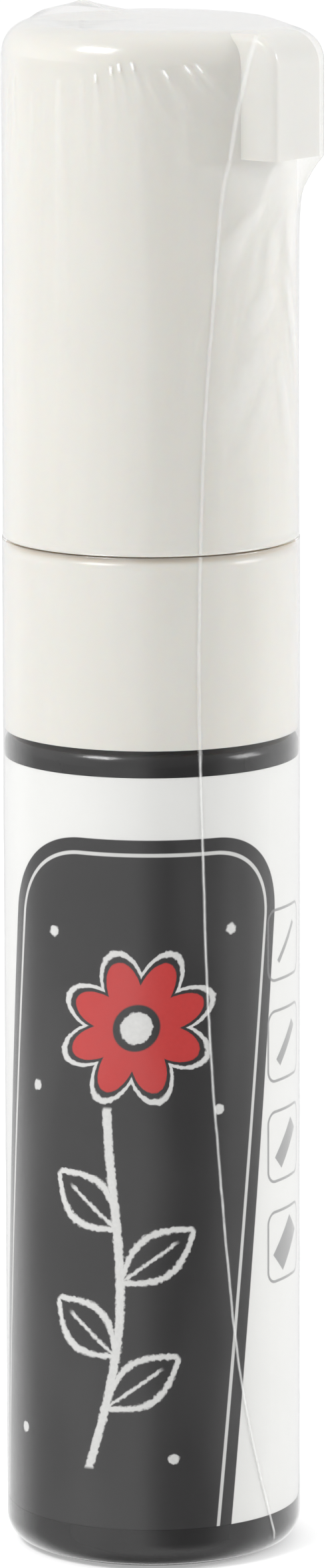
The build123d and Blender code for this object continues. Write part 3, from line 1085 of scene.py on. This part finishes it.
def soft_light(name, bearing, elevation, width, tall, power):
    """Soft box at a bearing from the camera and an elevation, aimed at the marker's middle."""
    data = bpy.data.lights.new(name, "AREA")
    data.shape = "RECTANGLE"
    data.size = width
    data.size_y = tall
    data.energy = power
    lamp = bpy.data.objects.new(name, data)
    middle = Vector((0, 0, (cad_low.z + cad_high.z) / 2))
    turn = Matrix.Rotation(bearing, 3, "Z")
    aim = -(turn @ to_camera * cos(elevation) + Vector((0, 0, sin(elevation))))
    lamp.location = middle - aim * softbox_distance
    lamp.rotation_mode = "QUATERNION"
    lamp.rotation_quaternion = aim.to_track_quat("-Z", "Y")
    lamp.visible_camera = False
    bpy.context.scene.collection.objects.link(lamp)


def make_tent():
    """White light tent, darker where its front stands open, and the skirt that hangs below it."""
    world = bpy.data.worlds.new("studio")
    world.use_nodes = True
    tent = Nodes(world.node_tree)
    way = tent.node("ShaderNodeTexCoord", output="Generated")
    rise = tent.node("ShaderNodeSeparateXYZ", {}, {"Vector": way}, "Z")

    def facing(bearing):
        """Cosine of the angle from a bearing."""
        ahead = Matrix.Rotation(bearing, 3, "Z") @ to_camera
        return tent.node("ShaderNodeVectorMath", {"operation": "DOT_PRODUCT"}, {0: way, 1: ahead}, "Value")

    upper = tent_horizon_level + (tent_level - tent_horizon_level) * rise.fade(*tent_horizon)
    upper = upper + (tent_front_level - upper) * facing(tent_opening).fade(*tent_front)
    lower = (skirt_back_level - skirt_side_level) * facing(skirt_back).fade(*skirt_bright)
    lower = lower + (skirt_front_level - skirt_side_level) * facing(skirt_opening).fade(*skirt_front)
    lower = (lower + skirt_side_level) * rise.fade(*skirt_depth)
    level = lower + (upper - lower) * rise.fade(*table_edge)
    glow = tent.node("ShaderNodeBackground", {}, {"Color": (1, 1, 1, 1), "Strength": level})
    tent.ends_in("ShaderNodeOutputWorld", glow)
    bpy.context.scene.world = world


def make_studio():
    """The light tent, the light table and the soft boxes."""
    bpy.context.scene.view_settings.view_transform = "Standard"
    make_tent()
    make_floor()
    for name, values in softboxes.items():
        soft_light(name, *values)


def make_camera():
    """Camera that sees the marker as the photograph does."""
    data = bpy.data.cameras.new("camera")
    data.sensor_width = sensor
    data.lens = focal_px / frame_height_px * sensor
    data.clip_start = 0.01
    camera = bpy.data.objects.new("camera", data)
    ahead = (-to_camera * cos(camera_pitch) - Vector((0, 0, sin(camera_pitch)))).normalized()
    above = to_right.cross(ahead)
    turn = Matrix((to_right, above, -ahead)).transposed()
    camera.rotation_mode = "QUATERNION"
    camera.rotation_quaternion = (turn @ Matrix.Rotation(-camera_roll, 3, "Z")).to_quaternion()
    camera.location = (
        to_camera * camera_distance + to_right * camera_sidestep + Vector((0, 0, camera_height))
    )
    bpy.context.scene.collection.objects.link(camera)
    bpy.context.scene.camera = camera


# The marker
ivory = moulded_plastic("white_plastic", *ivory_tones, 0.24, gloss_grain, translucent=0.4, shaded_groove=rim_groove)
black = moulded_plastic("black_plastic", *black_tones, 0.20, gloss_grain)
white = moulded_plastic("mouthpiece_white", *white_tones, 0.36, matt_grain)
natural = moulded_plastic("natural_plastic", *natural_tones, 0.42, matt_grain)
cup = moulded_plastic("inner_cup_plastic", *cup_tones, 0.46, matt_grain)
rubber = moulded_plastic("rubber_seal", *rubber_tones, 0.65, rubber_grain, specular=0.3)
dress(ivory, "cap_shell", "front_collar")
dress(black, "barrel")
dress(white, "mouthpiece")
dress(natural, "valve_housing", "spring_retainer", "nib_pusher", "valve_stem")
dress(cup, "cap_inner_cup")
dress(rubber, "neck_gasket", "valve_seal")
dress(steel("ball_steel", 0.08), "mixing_ball_a", "mixing_ball_b")
dress(label_print(), "label_sleeve")
film = clear_film("clear_film")
pleats = all_pleats()
make_cap_wrap(film, pleats)
make_barrel_wrap(film)
weld = smooth_route()
melted = weld_plastic()
make_weld("cap_weld", cut_route(weld, cap_rim + film_gap, cap_top), pleats, melted, "cap_unit")
make_weld("barrel_weld", cut_route(weld, 0, barrel_film_top), pleats, melted, "barrel_unit")
make_nib(felt("nib_felt"))
make_spring(steel("spring_steel", 0.22))

make_studio()
make_camera()
